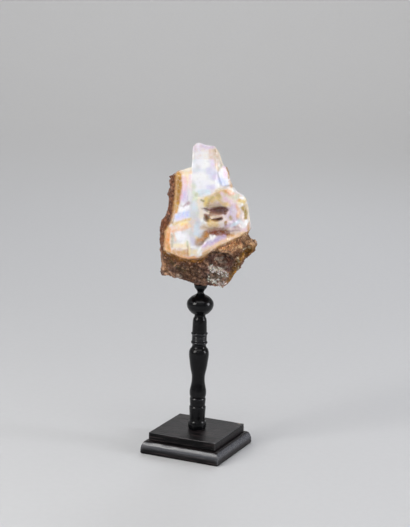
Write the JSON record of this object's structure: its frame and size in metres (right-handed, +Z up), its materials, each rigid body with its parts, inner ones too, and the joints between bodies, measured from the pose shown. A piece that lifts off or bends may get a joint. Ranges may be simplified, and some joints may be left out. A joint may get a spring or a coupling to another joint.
{
  "type": "rough opal specimen on a turned stand",
  "caption": "Rough opal slab still in its host rock, with one tall bare spire, resting upright on a slim turned baluster stand with a stepped square base.",
  "frame": {"origin": "centre of the stand's underside", "axes": "+Z up along the turned column, X and Y along the edges of the square base; the opal face looks to -Y turned 24 degrees towards +X"},
  "size_m": [0.0618, 0.0562, 0.207],
  "materials": {
    "opal_in_host_rock": "glassy milky opal with soft colour play, in granular brown rock",
    "ebonised_wood": "black stained, satin, open pores on the plates"
  },
  "bodies": {
    "root": {"opal_specimen": "opal_in_host_rock", "turned_column": "ebonised_wood", "base_upper_plate": "ebonised_wood", "base_lower_plate": "ebonised_wood"}
  },
  "joints": []
}
